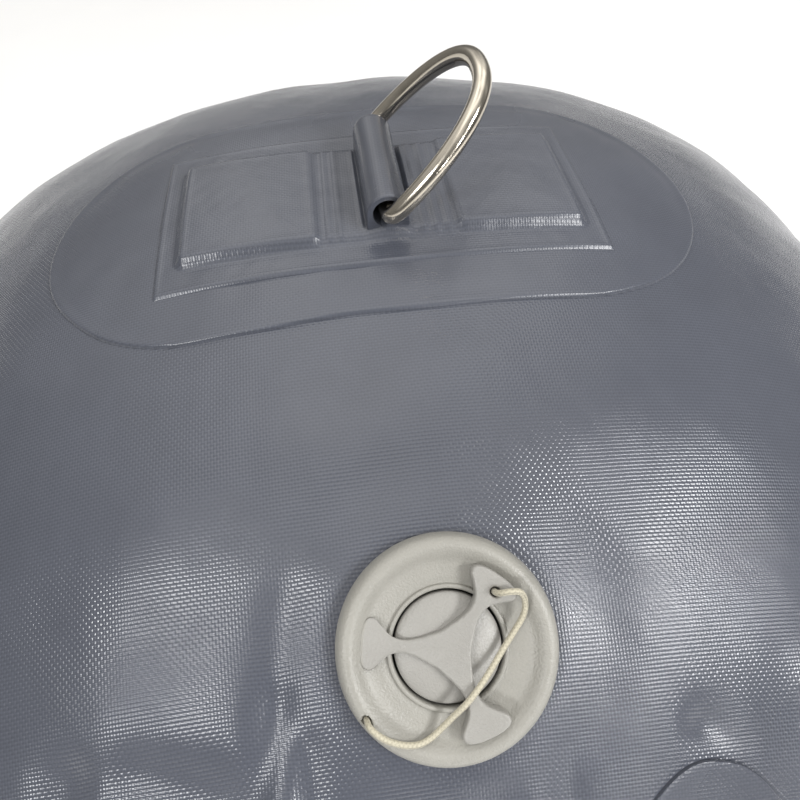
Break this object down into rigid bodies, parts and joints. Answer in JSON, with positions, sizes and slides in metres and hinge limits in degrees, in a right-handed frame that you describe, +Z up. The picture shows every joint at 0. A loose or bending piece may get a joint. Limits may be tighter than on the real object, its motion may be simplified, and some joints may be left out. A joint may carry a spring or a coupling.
{
  "type": "dry bag",
  "caption": "Air-filled roll-top dry bag of coated fabric, lying on its back, with a D-ring on a welded patch and a twist air valve.",
  "frame": {"origin": "middle of the footprint on the plane that the bag lies on", "axes": "+Z up out of the panel with the D-ring and the valve; -Y towards the rolled mouth; +X to the right seen from the mouth"},
  "size_m": [0.5822, 0.5718, 0.3275],
  "materials": {
    "pvc_fabric": "glossy PVC-coated woven polyester",
    "webbing": "matte woven webbing",
    "valve_plastic": "satin moulded nylon",
    "buckle_plastic": "satin acetal",
    "rubber": "matte",
    "ring_steel": "polished stainless steel",
    "cord": "braided cord"
  },
  "bodies": {
    "root": {"top_panel": "pvc_fabric", "bottom_panel": "pvc_fabric", "seam_tape": "pvc_fabric", "mouth_collar": "pvc_fabric", "stiffener_upper": "buckle_plastic", "stiffener_lower": "buckle_plastic", "base_patch": "pvc_fabric", "cover_sheet": "pvc_fabric", "weld_patch": "pvc_fabric", "webbing_left": "webbing", "webbing_right": "webbing", "ring_sleeve": "pvc_fabric", "valve_body": "valve_plastic", "valve_gasket": "rubber", "valve_nut": "valve_plastic", "valve_seat": "valve_plastic", "lanyard": "cord", "strap_patch_left": "pvc_fabric", "side_strap_left": "webbing", "buckle_female_left": "buckle_plastic", "strap_patch_right": "pvc_fabric", "side_strap_right": "webbing", "buckle_female_right": "buckle_plastic"},
    "ring": {"d_ring": "ring_steel"},
    "cap_thread": {"cap_seal": "rubber"},
    "cap": {"cap": "valve_plastic"},
    "plunger": {"plunger": "valve_plastic", "plunger_seal": "rubber"},
    "buckle_left": {"buckle_male_left": "buckle_plastic", "roll_strap_left": "webbing"},
    "buckle_right": {"buckle_male_right": "buckle_plastic", "roll_strap_right": "webbing"}
  },
  "joints": [
    {"name": "ring_swing", "type": "hinge", "parent": "root", "child": "ring", "pos_m": [0.002, 0.02257, 0.29226], "axis": [0, 1, 0], "range_deg": [-132, 41]},
    {"name": "cap_lift", "type": "slide", "parent": "root", "child": "cap_thread", "axis": [0, -0.4821, 0.8761], "range_m": [0, 0.002]},
    {"name": "cap_turn", "type": "hinge", "parent": "cap_thread", "child": "cap", "pos_m": [0, -0.12663, 0.25131], "axis": [0, -0.4821, 0.8761], "range_deg": [0, 120], "deforming": ["lanyard"]},
    {"name": "plunger_press", "type": "slide", "parent": "root", "child": "plunger", "axis": [0, 0.4821, -0.8761], "range_m": [0, 0.003], "stiffness_N_per_m": 300, "springref_m": -0.002},
    {"name": "buckle_left_release", "type": "slide", "parent": "root", "child": "buckle_left", "axis": [0, -1, 0], "range_m": [0, 0.03]},
    {"name": "buckle_right_release", "type": "slide", "parent": "root", "child": "buckle_right", "axis": [0, -1, 0], "range_m": [0, 0.03]}
  ],
  "couplings": [
    {"joint": "cap_lift", "follows": "cap_turn", "m_per_rad": 0.00095}
  ]
}
